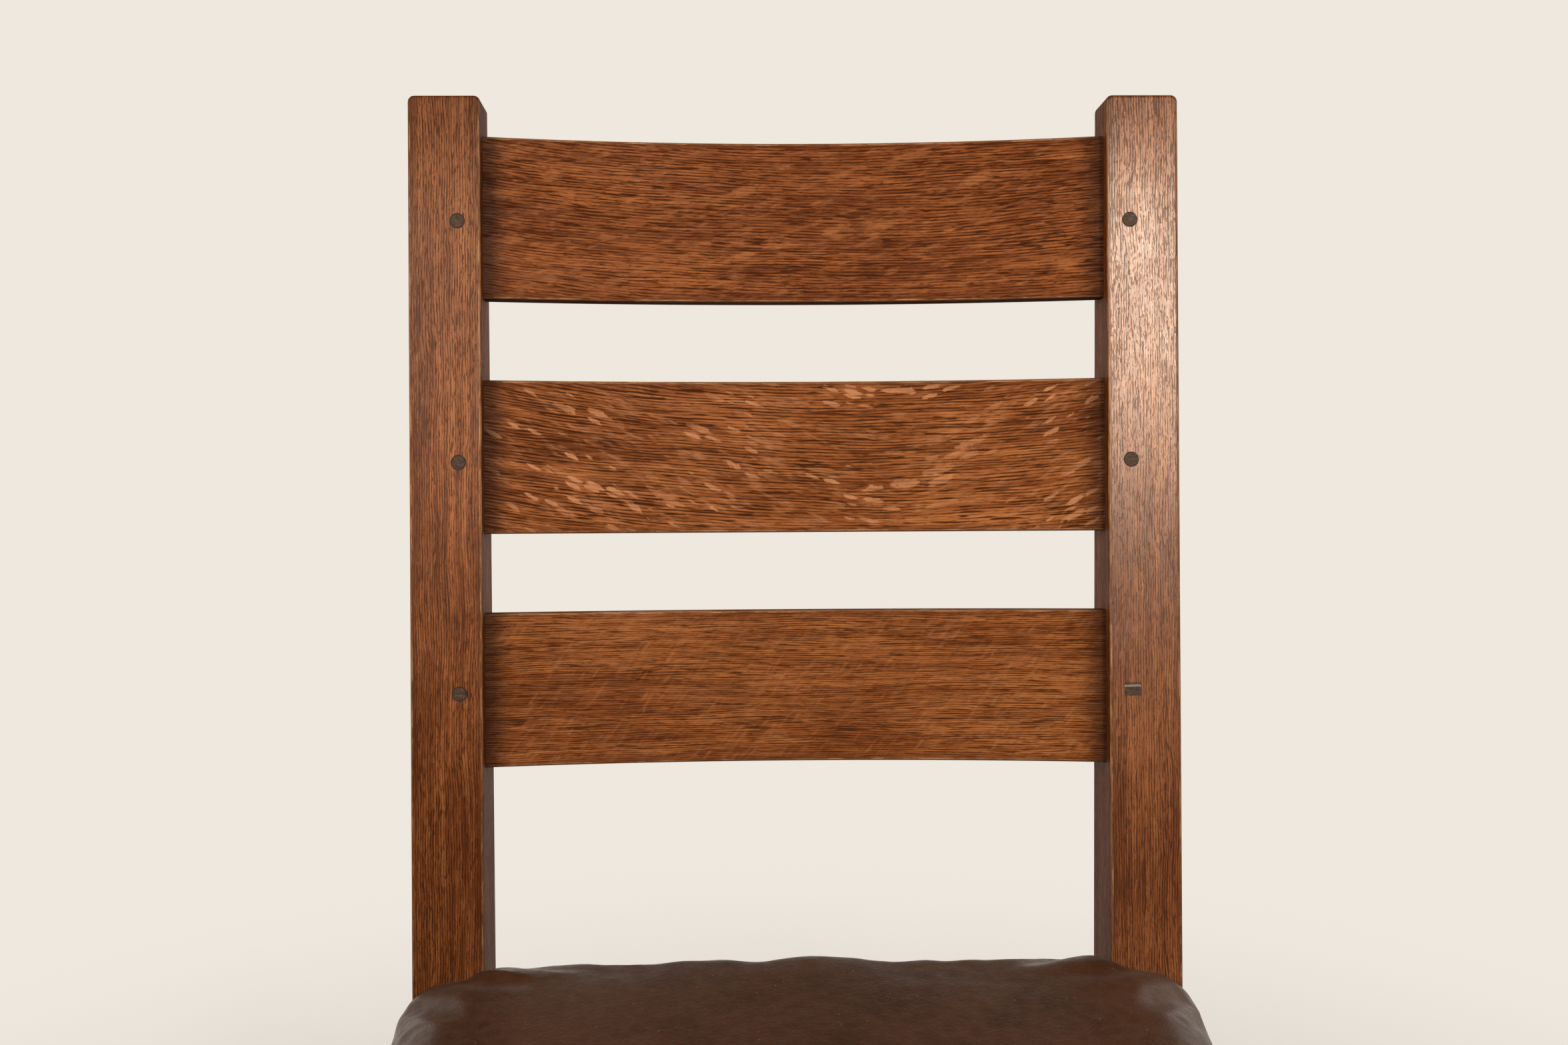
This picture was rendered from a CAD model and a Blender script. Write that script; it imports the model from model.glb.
import bmesh
import bpy
import math
from mathutils import Matrix, Vector


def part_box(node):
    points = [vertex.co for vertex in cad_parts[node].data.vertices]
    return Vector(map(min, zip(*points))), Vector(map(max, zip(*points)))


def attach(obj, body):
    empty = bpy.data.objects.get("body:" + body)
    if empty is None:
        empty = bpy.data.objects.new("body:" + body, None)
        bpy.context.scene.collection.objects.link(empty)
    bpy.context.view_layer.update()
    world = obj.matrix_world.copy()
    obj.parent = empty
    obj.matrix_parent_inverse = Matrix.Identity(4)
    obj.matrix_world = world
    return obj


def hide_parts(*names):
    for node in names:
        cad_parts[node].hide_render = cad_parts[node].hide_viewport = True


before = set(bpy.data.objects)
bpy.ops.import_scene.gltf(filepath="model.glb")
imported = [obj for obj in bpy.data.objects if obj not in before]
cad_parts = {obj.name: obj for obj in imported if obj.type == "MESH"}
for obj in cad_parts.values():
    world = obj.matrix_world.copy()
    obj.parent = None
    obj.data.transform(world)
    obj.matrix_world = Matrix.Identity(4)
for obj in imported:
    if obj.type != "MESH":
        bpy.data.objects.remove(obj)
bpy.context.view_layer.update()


# Rear posts
# Two stout posts of quarter-sawn white oak, each sawn from one board with a bend at the seat. They lean back
# above it and taper. The oak is fumed dark and waxed. Its long edges are worn bright, its tops nearly black.
BEND_Y, BEND_Z = 0.11042, 0.418
LEAN = math.radians(15)
POST_INNER, POST_OUTER = 0.1963, 0.2413
POST_UP = (0, math.sin(LEAN), math.cos(LEAN))
POST_BACK = (0, math.cos(LEAN), -math.sin(LEAN))
# Below the bend the front face runs forward to the floor. The post thins from there towards its top and
# towards its foot.
POST_KICK = 0.030
POST_DEPTH, POST_LOWER_DEPTH = 0.070, 0.0676
UPPER_TAPER = math.atan2(0.026, 0.5929)
LOWER_TAPER = math.atan2(0.00839, 0.39988)
WARM_GLOSS = (1.0, 0.80, 0.64, 1)


def feed(tree, socket, value):
    """Gives a socket a plain value, or links it to a node or to one of its outputs."""
    if isinstance(value, bpy.types.Node):
        value = value.outputs[0]
    if isinstance(value, bpy.types.NodeSocket):
        tree.links.new(value, socket)
    else:
        socket.default_value = value


def feed_each(tree, sockets, values):
    """Feeds sockets in their order."""
    for socket, value in zip(sockets, values):
        feed(tree, socket, value)


def dress(tree, node, **feeds):
    """Feeds the named inputs of a node."""
    for name, value in feeds.items():
        feed(tree, node.inputs[name.replace("_", " ")], value)


def shader(tree, kind, picks=None, **feeds):
    """Adds one shader node with its settings and its inputs."""
    made = tree.nodes.new("ShaderNode" + kind)
    for name, value in (picks or {}).items():
        setattr(made, name, value)
    dress(tree, made, **feeds)
    return made


def reckon(tree, operation, *values, clamp=False):
    """Adds a sum, product or other reckoning of plain values and outputs."""
    made = tree.nodes.new("ShaderNodeMath")
    made.operation = operation
    made.use_clamp = clamp
    feed_each(tree, made.inputs, values)
    return made.outputs[0]


def minus(tree, first, second):
    """One value less another."""
    return reckon(tree, "SUBTRACT", first, second)


def times(tree, first, second):
    """The product of two values."""
    return reckon(tree, "MULTIPLY", first, second)


def scaled(tree, value, factor, extra, clamp=False):
    """A value times a factor, plus an extra."""
    return reckon(tree, "MULTIPLY_ADD", value, factor, extra, clamp=clamp)


def larger(tree, first, second):
    """The larger of two values."""
    return reckon(tree, "MAXIMUM", first, second)


def smaller(tree, first, second):
    """The smaller of two values."""
    return reckon(tree, "MINIMUM", first, second)


def unsigned(tree, value):
    """A value without its sign."""
    return reckon(tree, "ABSOLUTE", value)


def vector(tree, operation, *values):
    """Adds a reckoning of places or directions."""
    made = shader(tree, "VectorMath", {"operation": operation})
    feed_each(tree, made.inputs, values)
    return made


def surface_place(tree):
    """Where a point of the surface is, and which way the surface faces there."""
    found = shader(tree, "TexCoord")
    return found.outputs["Object"], found.outputs["Normal"]


def along_line(tree, place, direction, start=0.0):
    """How far a place lies along a direction, less a start."""
    return minus(tree, vector(tree, "DOT_PRODUCT", place, direction).outputs["Value"], start)


def step_between(tree, value, low, high, first=0.0, last=1.0):
    """Runs smoothly from first to last while the value runs from low to high."""
    made = shader(tree, "MapRange", {"interpolation_type": "SMOOTHSTEP"})
    numbers = {"Value": value, "From Min": low, "From Max": high, "To Min": first, "To Max": last}
    for name, number in numbers.items():
        feed(tree, made.inputs[name], number)
    return made.outputs[0]


def facing(tree, normal, axis, low=0.60, high=0.80):
    """Share by which a surface faces along an axis, either way."""
    return step_between(tree, unsigned(tree, along_line(tree, normal, axis)), low, high)


def to_face(tree, half, off_middle):
    """How far inside a board's face a place is, from half the board's size and the place off its middle."""
    return minus(tree, half, unsigned(tree, off_middle))


def to_arris(tree, first_gap, second_gap):
    """How far the nearest arris is, from the gaps to two pairs of faces."""
    return reckon(tree, "ADD", larger(tree, first_gap, 0.0), larger(tree, second_gap, 0.0))


def from_bend(tree, place):
    """A place measured from the front corner of the bend of the posts."""
    return vector(tree, "SUBTRACT", place, (0, BEND_Y, BEND_Z)).outputs[0]


def choose(tree, share, first, second):
    """Mixes two numbers by a share."""
    made = shader(tree, "Mix")
    feed_each(tree, [made.inputs[index] for index in (0, 2, 3)], (share, first, second))
    return made.outputs[0]


def tint(tree, share, first, second):
    """Mixes two colours by a share."""
    made = shader(tree, "Mix", {"data_type": "RGBA"})
    feed_each(tree, [made.inputs[index] for index in (0, 6, 7)], (share, first, second))
    return made.outputs[2]


def noise(tree, place, scale, detail=3.0, roughness=0.6, distortion=0.0):
    """Soft noise, with about as many bumps to a unit of the place as the scale."""
    return shader(
        tree, "TexNoise", None,
        Vector=place, Scale=scale, Detail=detail, Roughness=roughness, Distortion=distortion,
    ).outputs[0]


def cells(tree, place, scale, feature="F1"):
    """Scattered cells: how far their middles or edges are, and a colour by chance for each."""
    return shader(tree, "TexVoronoi", {"feature": feature}, Vector=place, Scale=scale, Randomness=1.0)


def chance_of(tree, scattered):
    """A number by chance for each of the scattered cells."""
    return shader(tree, "SeparateColor", None, Color=scattered.outputs["Color"]).outputs[0]


def triple(tree, x, y, z):
    """Joins three numbers to one place."""
    return shader(tree, "CombineXYZ", None, X=x, Y=y, Z=z).outputs[0]


def stretched(tree, along, across, through, scales, shift):
    """A place in the board scaled apart along, across and through the grain, and moved by a shift."""
    parts = [
        scaled(tree, value, scale, shift + index * 7.3)
        for index, (value, scale) in enumerate(zip((along, across, through), scales))
    ]
    return triple(tree, *parts)


def new_material(name):
    """An empty node material with its surface shader."""
    made = bpy.data.materials.new(name)
    made.use_nodes = True
    tree = made.node_tree
    tree.nodes.clear()
    surface = tree.nodes.new("ShaderNodeBsdfPrincipled")
    output = tree.nodes.new("ShaderNodeOutputMaterial")
    tree.links.new(surface.outputs[0], output.inputs[0])
    return made, tree, surface


def oak(name, lay, tones, seed, grain, rays, sheen=0.36, polish=0.25):
    """Quarter-sawn oak: rows of pore dashes, one to a year ring, and pale ray flecks over them.

    lay adds nodes and gives the place along, across and through the board, how far the nearest arris is,
    the share of end grain, the share of grime and how dull the face is.
    """
    made, tree, surface = new_material(name)
    along, across, through, arris, end_grain, grime, dull = lay(tree)
    dark, middle, light, pore_tone, ray_tone = tones

    def figure(line, scales, shift, detail=2.0, roughness=0.5, distortion=0.0):
        """Noise drawn out along the grain, on one of the lines across it."""
        place = stretched(tree, along, line, through, scales, seed + shift)
        return noise(tree, place, 1.0, detail, roughness, distortion)

    # The grain wanders a little, and more where the board has figure
    bent = across
    if grain.get("bend"):
        lift = reckon(tree, "POWER", minus(tree, along, grain["bend_at"]), 2.0)
        bent = minus(tree, bent, times(tree, lift, grain["bend"]))
    sway = minus(tree, figure(bent, (grain["waves"], 36, 36), 0), 0.5)
    sway = times(tree, sway, grain["sway"] * grain["pitch"])
    bent = reckon(tree, "ADD", bent, sway)

    # Year rings: the early wood of each is darker and full of pores
    ring = reckon(tree, "PINGPONG", reckon(tree, "DIVIDE", bent, grain["pitch"]), 0.5)
    early = step_between(tree, ring, 0.04, 0.30, 1.0, 0.0)
    broad = step_between(tree, figure(bent, (8, 26, 26), 1, 3.0, 0.55), 0.30, 0.70)
    streak = step_between(tree, figure(bent, (9, 330, 330), 2, 3.0, 0.6), 0.34, 0.66)
    fine = step_between(tree, figure(bent, (70, 1700, 1700), 3, 2.0, 0.6), 0.32, 0.68)
    tone = scaled(tree, streak, 0.46, times(tree, broad, 0.40))
    tone = scaled(tree, fine, 0.46, tone)
    tone = scaled(tree, early, -0.34, minus(tree, tone, 0.08), clamp=True)
    colour = tint(tree, step_between(tree, tone, 0.0, 0.55), dark, middle)
    colour = tint(tree, step_between(tree, tone, 0.45, 1.05), colour, light)

    # Pores show as dashes, thick in the early wood and few between
    dash_scales = (1 / grain["dash"], 1 / grain["thick"], 1 / grain["thick"])
    dashes = scaled(tree, early, 0.15, figure(bent, dash_scales, 5, 1.0, 0.4, 0.2))
    dashes = scaled(tree, figure(bent, (7, 45, 45), 4, 1.0), 0.22, dashes)
    pores = step_between(tree, dashes, grain["bare"], grain["bare"] + 0.075)
    specks = figure(bent, (3 / grain["dash"], 1500, 1500), 6, 1.0, 0.4)
    specks = step_between(tree, specks, 0.60, 0.68)
    pores = larger(tree, pores, times(tree, specks, 0.6))

    # Ray flecks: slanting ribbons of many sizes with ragged edges
    slant = scaled(tree, along, -rays["slope"], bent)
    if rays.get("dip"):
        from_dip = minus(tree, along, rays["dip_at"])
        bow = reckon(tree, "SQRT", scaled(tree, from_dip, from_dip, rays["dip_width"] ** 2))
        slant = scaled(tree, bow, -rays["dip"], slant)
    ragged = times(tree, minus(tree, figure(slant, (300, 500, 500), 9, 2.0, 0.6), 0.5), 0.55)
    patches = figure(slant, (13, 28, 28), 11, 1.0)
    fleck = 0.0
    for layer, (size, often, weight) in enumerate(rays["layers"]):
        wide_scale = 1 / (rays["width"] * size)
        fleck_scales = (1 / (rays["length"] * size), wide_scale, wide_scale * 0.5)
        place = stretched(tree, along, slant, through, fleck_scales, seed + 8 + layer * 3.7)
        spots = cells(tree, vector(tree, "ADD", place, triple(tree, ragged, ragged, 0.0)), 1.0)
        reach = step_between(tree, chance_of(tree, spots), 1 - often, 1.0, 0.0, 0.56)
        inside = minus(tree, reach, spots.outputs["Distance"])
        share = step_between(tree, inside, 0.0, rays["soft"], 0.0, weight)
        fleck = larger(tree, fleck, share)
    fleck = times(tree, fleck, step_between(tree, patches, 0.34, 0.54, rays["least"], 1.0))
    haze = figure(slant, (60, 230, 120), 12, 2.0, 0.6)
    haze = step_between(tree, haze, 0.48, 0.74, 0.0, rays["haze"])
    ray_share = times(tree, larger(tree, fleck, haze), rays["strength"])

    # Darker smears where the stain lay thick
    smear = figure(bent, (26, 150, 150), 15, 3.0, 0.6)
    smear = step_between(tree, smear, 0.56, 0.74, 0.0, grain["smear"])
    colour = tint(tree, smear, colour, dark)

    hidden_pores = scaled(tree, ray_share, -0.75, 1.0)
    pores = times(tree, pores, hidden_pores)
    colour = tint(tree, ray_share, colour, ray_tone)
    colour = tint(tree, times(tree, pores, grain["share"]), colour, pore_tone)

    # Worn arrises are pale, joints and hollows hold dirt, end grain is nearly black
    rub = step_between(tree, figure(across, (55, 300, 300), 13, 3.0, 0.65), 0.42, 0.66)
    edge = step_between(tree, arris, 0.00122, 0.00180, 1.0, 0.0)
    worn = times(tree, edge, scaled(tree, rub, 0.78, 0.10))
    near_edge = step_between(tree, arris, 0.0017, 0.0060, 0.42, 0.0)
    colour = tint(tree, near_edge, colour, dark)
    colour = tint(tree, worn, colour, (0.60, 0.31, 0.145, 1))
    colour = tint(tree, grime, colour, (0.020, 0.006, 0.002, 1))
    colour = tint(tree, times(tree, end_grain, 0.82), colour, (0.022, 0.010, 0.005, 1))

    gloss, spread = figure(across, (18, 60, 60), 14, 3.0, 0.6), grain["gloss_spread"]
    gloss = step_between(tree, gloss, 0.3, 0.7, sheen - spread, sheen + spread)
    gloss = scaled(tree, pores, grain["pore_gloss"], gloss)
    gloss = scaled(tree, dull, 0.22, gloss)
    hollow = scaled(tree, fine, 0.30, times(tree, pores, -1.0))
    hollow = scaled(tree, ray_share, 0.25, hollow)
    relief = shader(tree, "Bump", None, Strength=0.5, Distance=0.00016, Height=hollow)
    dress(
        tree, surface, Base_Color=colour, Roughness=gloss, Normal=relief, Specular_Tint=WARM_GLOSS,
        Specular_IOR_Level=scaled(tree, dull, -0.95 * polish, polish),
    )
    return made


def post_lay(side):
    """Lay of the grain in a rear post: along the leaning back, read from the face that shows."""
    def lay(tree):
        place, normal = surface_place(tree)
        place = from_bend(tree, place)
        wide = along_line(tree, place, (1, 0, 0))
        up = along_line(tree, place, POST_UP)
        back = along_line(tree, place, POST_BACK)
        faces_side = facing(tree, normal, (1, 0, 0))
        faces_end = facing(tree, normal, POST_UP, 0.72, 0.86)
        # Below the bend the faces rake the other way, so distances to both pairs of planes are compared
        rake = math.atan2(POST_KICK, BEND_Z)
        lower_front = along_line(tree, place, (0, math.cos(rake), math.sin(rake)))
        front_gap = smaller(tree, back, lower_front)
        upper_rear = (0, math.cos(LEAN + UPPER_TAPER), -math.sin(LEAN + UPPER_TAPER))
        lower_rear = (0, math.cos(LOWER_TAPER), -math.sin(LOWER_TAPER))
        rear_up = minus(tree, POST_DEPTH, along_line(tree, place, upper_rear))
        rear_low = minus(tree, POST_LOWER_DEPTH, along_line(tree, place, lower_rear))
        rear_gap = larger(tree, rear_up, rear_low)
        depth_gap = smaller(tree, front_gap, rear_gap)
        off_centre = minus(tree, unsigned(tree, wide), (POST_INNER + POST_OUTER) / 2)
        arris = to_arris(tree, to_face(tree, (POST_OUTER - POST_INNER) / 2, off_centre), depth_gap)
        across = choose(tree, faces_side, wide, back)
        through = times(tree, faces_side, 0.37)
        # The wood darkens towards the seat, where hands never polish it, and at the very top
        seat_dirt = step_between(tree, up, 0.02, 0.40, 0.37 - 0.07 * side, 0.0)
        seat_dirt = larger(tree, seat_dirt, step_between(tree, up, 0.46, 0.60, 0.0, 0.24 - 0.10 * side))
        seat_dirt = times(tree, seat_dirt, step_between(tree, up, -0.10, -0.01, 0.5, 1.0))
        # The front is polished by hands in its upper part only
        dull = times(tree, faces_side, 0.9 + 0.1 * side)
        dull = larger(tree, dull, step_between(tree, up, 0.10, 0.40, 0.85, 0.0))
        dull = larger(tree, dull, step_between(tree, up, 0.49, 0.60, 0.0, 0.5))
        return up, across, through, arris, faces_end, seat_dirt, dull
    return lay


def paint(name, finish):
    """Gives a piece its material."""
    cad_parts[name].data.materials[0] = finish


# Tones of the dark wood, the middle wood, the light wood, the pores and the rays
OAK_TONES = (
    (0.092, 0.021, 0.0036, 1), (0.215, 0.058, 0.0130, 1), (0.370, 0.125, 0.0370, 1),
    (0.052, 0.011, 0.0020, 1), (0.44, 0.160, 0.062, 1),
)
POST_GRAIN = {
    "pitch": 0.0016, "dash": 0.0070, "thick": 0.00074, "sway": 3.4, "waves": 16, "bare": 0.728,
    "share": 0.80, "smear": 0.42, "pore_gloss": 0.10, "gloss_spread": 0.018,
}
POST_RAYS = {
    "slope": 0.12, "length": 0.009, "width": 0.0022, "layers": ((1.0, 0.3, 0.8),), "least": 0.0,
    "soft": 0.16, "strength": 0.35, "haze": 0.30,
}
for side, word, dash, gloss in ((-1, "left", 0.0062, (0.37, 0.32)), (1, "right", 0.0075, (0.31, 0.86))):
    grain = {**POST_GRAIN, "dash": dash}
    lay = post_lay(side)
    post_oak = oak("oak_rear_post_" + word, lay, OAK_TONES, 20 + side * 3, grain, POST_RAYS, *gloss)
    paint("rear_post_" + word, post_oak)


# Slats
# Three boards bowed away from the sitter, tenoned into the posts. They are the best of the oak: the pores
# run level, and the rays slant over them, strong in the middle slat, broad in the top one, faint in the
# lower one.
SLAT_RADIUS = 0.72610
SLAT_SETBACK, SLAT_BOW = 0.0127, 0.027
SLAT_CENTRE = SLAT_SETBACK + SLAT_BOW - SLAT_RADIUS
SLAT_THICKNESS = 0.019


def slat_lay(low, height):
    """Lay of the grain in a bowed slat: round the bow, up the leaning back and through the board."""
    def lay(tree):
        place, normal = surface_place(tree)
        place = from_bend(tree, place)
        wide = along_line(tree, place, (1, 0, 0))
        up = along_line(tree, place, POST_UP, low)
        back = along_line(tree, place, POST_BACK, SLAT_CENTRE)
        ray = reckon(tree, "SQRT", scaled(tree, wide, wide, times(tree, back, back)))
        deep = minus(tree, ray, SLAT_RADIUS)
        round_bow = times(tree, reckon(tree, "ARCTAN2", wide, back), SLAT_RADIUS)
        faces_edge = facing(tree, normal, POST_UP)
        edge_gap = to_face(tree, height / 2, minus(tree, up, height / 2))
        face_gap = to_face(tree, SLAT_THICKNESS / 2, minus(tree, deep, SLAT_THICKNESS / 2))
        arris = to_arris(tree, edge_gap, face_gap)
        across = choose(tree, faces_edge, up, deep)
        # Old wax and dust darken the corners at the posts and the underside
        corner = step_between(tree, to_face(tree, POST_INNER, wide), 0.001, 0.020, 0.72, 0.0)
        under = step_between(tree, along_line(tree, normal, POST_UP), -0.85, -0.45, 0.75, 0.0)
        grime = larger(tree, corner, under)
        return round_bow, across, times(tree, faces_edge, 0.41), arris, 0.0, grime, faces_edge
    return lay


# How far up the posts each slat starts, and its height
SLAT_PLACES = {"top_slat": (0.4601, 0.1025), "middle_slat": (0.3120, 0.097), "lower_slat": (0.1649, 0.097)}
SLAT_GRAIN = {
    "pitch": 0.0019, "dash": 0.019, "thick": 0.00085, "sway": 4.0, "waves": 8, "bare": 0.715,
    "share": 1.0, "smear": 0.30, "pore_gloss": 0.20, "gloss_spread": 0.05,
}
SLAT_FINISHES = {
    "top_slat": (
        ((0.088, 0.019, 0.0032, 1), (0.196, 0.050, 0.0104, 1), (0.330, 0.100, 0.0255, 1),
         (0.056, 0.012, 0.0019, 1), (0.42, 0.145, 0.046, 1)),
        {"bend": 0.20, "bend_at": 0.05, "dash": 0.013, "smear": 0.45},
        {"slope": 0.22, "length": 0.030, "width": 0.0080, "layers": ((1.0, 0.55, 0.9), (0.4, 0.40, 0.7)),
         "least": 0.2, "soft": 0.36, "strength": 0.66, "haze": 0.60},
    ),
    "middle_slat": (
        ((0.112, 0.026, 0.0040, 1), (0.262, 0.074, 0.0160, 1), (0.410, 0.140, 0.0390, 1),
         (0.052, 0.012, 0.0020, 1), (0.54, 0.225, 0.095, 1)),
        {"bend": 0.30, "bend_at": 0.055},
        {"slope": 0.02, "dip": 0.37, "dip_at": 0.072, "dip_width": 0.035, "length": 0.0128,
         "width": 0.0036, "layers": ((1.0, 0.55, 1.0), (1.7, 0.30, 0.8)), "least": 0.12, "soft": 0.14,
         "strength": 0.88, "haze": 0.40},
    ),
    "lower_slat": (
        ((0.104, 0.025, 0.0042, 1), (0.228, 0.064, 0.0142, 1), (0.370, 0.128, 0.0360, 1),
         (0.060, 0.014, 0.0022, 1), (0.44, 0.170, 0.062, 1)),
        {"pitch": 0.0014, "dash": 0.015, "thick": 0.00072, "sway": 5.0, "bare": 0.725, "share": 0.90,
         "smear": 0.36},
        {"slope": 1.1, "length": 0.0080, "width": 0.0046, "layers": ((1.0, 0.35, 0.7),), "least": 0.2,
         "soft": 0.30, "strength": 0.42, "haze": 0.5},
    ),
}
for number, (name, (low, height)) in enumerate(SLAT_PLACES.items()):
    tones, own_grain, rays = SLAT_FINISHES[name]
    grain = {**SLAT_GRAIN, **own_grain}
    lay = slat_lay(low, height)
    slat_oak = oak("oak_" + name, lay, tones, 31 + 5 * number, grain, rays, sheen=0.44, polish=0.08)
    paint(name, slat_oak)


# Front legs, seat rails and stretchers
# Straight square oak, planed and tenoned together. The legs stand upright, the rails under the seat are deep,
# and two stretchers run one above the other at each side. Feet and lower arrises are scuffed darker.
def straight_lay(low, high, grain):
    """Lay of the grain in a straight board whose grain runs along one axis."""
    axes = [(1, 0, 0), (0, 1, 0), (0, 0, 1)]
    others = [index for index in range(3) if index != grain]
    def lay(tree):
        place, normal = surface_place(tree)
        along = along_line(tree, place, axes[grain])
        spans, gaps = [], []
        for index in others:
            span = along_line(tree, place, axes[index], (low[index] + high[index]) / 2)
            spans.append(span)
            gaps.append(to_face(tree, (high[index] - low[index]) / 2, span))
        faces_second = facing(tree, normal, axes[others[0]])
        across = choose(tree, faces_second, *spans)
        through = times(tree, faces_second, 0.53)
        arris = to_arris(tree, *gaps)
        faces_end = facing(tree, normal, axes[grain], 0.72, 0.86)
        off_middle = minus(tree, along, (high[grain] + low[grain]) / 2)
        end_gap = to_face(tree, (high[grain] - low[grain]) / 2, off_middle)
        # Only the legs have ends that show: a rail's grime starts where its tenon ends
        reach = 0.0 if grain == 2 else 0.020
        grime = step_between(tree, minus(tree, end_gap, reach), 0.0, 0.022, 0.55, 0.0)
        return along, across, through, arris, faces_end, grime, 0.0
    return lay


def finish_board(name, grain, label, tones, seed, *figure, sheen):
    """Gives a straight board its own oak."""
    lay = straight_lay(*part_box(name), grain)
    paint(name, oak(label + name, lay, tones, seed, *figure, sheen=sheen))


RAIL_GRAIN = {**SLAT_GRAIN, "pitch": 0.0018, "dash": 0.016, "bend": 0.15, "bend_at": 0.04}
RAIL_RAYS = {
    "slope": 0.3, "length": 0.018, "width": 0.0036, "layers": ((1.0, 0.5, 0.9), (0.5, 0.4, 0.7)),
    "least": 0.0, "soft": 0.14, "strength": 0.6, "haze": 0.3,
}
STRAIGHT_BOARDS = [
    ("front_leg_left", 2), ("front_leg_right", 2), ("front_seat_rail", 0), ("back_seat_rail", 0),
    ("side_seat_rail_left", 1), ("side_seat_rail_right", 1), ("front_stretcher", 0), ("rear_stretcher", 0),
    ("lower_side_stretcher_left", 1), ("lower_side_stretcher_right", 1),
    ("upper_side_stretcher_left", 1), ("upper_side_stretcher_right", 1),
]
for number, (name, grain) in enumerate(STRAIGHT_BOARDS):
    figure = (POST_GRAIN, POST_RAYS) if grain == 2 else (RAIL_GRAIN, RAIL_RAYS)
    finish_board(name, grain, "oak_", OAK_TONES, 60 + 4 * number, *figure, sheen=0.38)


# Pegs
# Round oak pegs driven through the tenons and pared off flush, and one square cut plug. Their end grain has
# drunk the stain and stands a hair proud, dark and dull, with a black line round it.
def peg_material(name, tone, pale, centres=(), radius=0.0, slot=None):
    """Dark end grain with open pores, a black rim and a few pale scratches.

    centres are the places of round pegs across and up the leaning posts; slot is the height of a pale split.
    """
    made, tree, surface = new_material(name)
    place = surface_place(tree)[0]
    blotch = step_between(tree, noise(tree, place, 420.0), 0.35, 0.65)
    pores = step_between(tree, cells(tree, place, 1500.0).outputs["Distance"], 0.16, 0.34, 1.0, 0.0)
    colour = tint(tree, blotch, tone, pale)
    colour = tint(tree, times(tree, pores, 0.7), colour, (0.008, 0.004, 0.002, 1))
    up = along_line(tree, from_bend(tree, place), POST_UP)
    across = unsigned(tree, along_line(tree, place, (1, 0, 0)))
    rim = 1.0
    for centre_x, centre_up in centres:
        off_x, off_up = minus(tree, across, centre_x), minus(tree, up, centre_up)
        ray = reckon(tree, "SQRT", scaled(tree, off_x, off_x, times(tree, off_up, off_up)))
        rim = smaller(tree, rim, ray)
        rings = reckon(tree, "SINE", scaled(tree, off_up, 5200.0, times(tree, blotch, 3.0)))
    if centres:
        colour = tint(tree, step_between(tree, rings, 0.2, 1.0, 0.0, 0.35), colour, (0.014, 0.007, 0.004, 1))
        black_line = step_between(tree, rim, radius - 0.0011, radius - 0.0003, 0.0, 0.9)
        colour = tint(tree, black_line, colour, (0.006, 0.003, 0.002, 1))
    if slot:
        split = unsigned(tree, minus(tree, up, scaled(tree, blotch, 0.0005, slot)))
        pale_split = step_between(tree, split, 0.0003, 0.0007, 0.75, 0.0)
        colour = tint(tree, pale_split, colour, (0.36, 0.27, 0.20, 1))
    relief = shader(tree, "Bump", None, Strength=0.6, Distance=0.0002, Height=minus(tree, blotch, pores))
    dress(
        tree, surface, Base_Color=colour, Roughness=step_between(tree, blotch, 0.0, 1.0, 0.42, 0.60),
        Specular_IOR_Level=0.3, Specular_Tint=(1.0, 0.85, 0.72, 1), Normal=relief,
    )
    return made


PEG_X, PEG_DROPS = 0.2107, {"top_slat": 0.0038, "middle_slat": 0.0038, "lower_slat": 0.0011}
PEG_TONES = (0.034, 0.014, 0.007, 1), (0.100, 0.050, 0.030, 1)
PLUG_TONES = (0.030, 0.014, 0.008, 1), (0.085, 0.048, 0.032, 1)
peg_places = [
    (PEG_X, low + height / 2 - PEG_DROPS[name]) for name, (low, height) in SLAT_PLACES.items()
]
plug_split = peg_places[2][1] + 0.0018
slat_peg_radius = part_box("slat_pegs")[1][0] - PEG_X
paint("slat_pegs", peg_material("peg_end_grain", *PEG_TONES, peg_places, slat_peg_radius))
paint("slat_plug", peg_material("plug_end_grain", *PLUG_TONES, slot=plug_split))
other_peg_oak = peg_material("peg_dark", *PEG_TONES)
paint("rail_pegs", other_peg_oak)
paint("stretcher_pegs", other_peg_oak)


# Corner blocks and seat frame
# Plain secondary wood that never shows from above: oak blocks screwed inside the rails, and a lapped frame of
# pale poplar that carries the seat. Both are left off the saw, dusty and browned with age.
BARE_TONES = (
    (0.150, 0.082, 0.038, 1), (0.330, 0.205, 0.104, 1), (0.420, 0.280, 0.155, 1), (0.080, 0.045, 0.022, 1),
    (0.46, 0.32, 0.19, 1),
)
BARE_GRAIN = {**RAIL_GRAIN, "bare": 0.80, "share": 0.45, "smear": 0.2}
BARE_RAYS = {**POST_RAYS, "slope": 0.2, "strength": 0.25}
for number, (name, grain) in enumerate((
    ("corner_block_front_left", 0), ("corner_block_front_right", 0), ("corner_block_rear_left", 0),
    ("corner_block_rear_right", 0), ("seat_frame_front", 0), ("seat_frame_rear", 0),
    ("seat_frame_left", 1), ("seat_frame_right", 1),
)):
    finish_board(name, grain, "bare_", BARE_TONES, 120 + 3 * number, BARE_GRAIN, BARE_RAYS, sheen=0.72)


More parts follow.
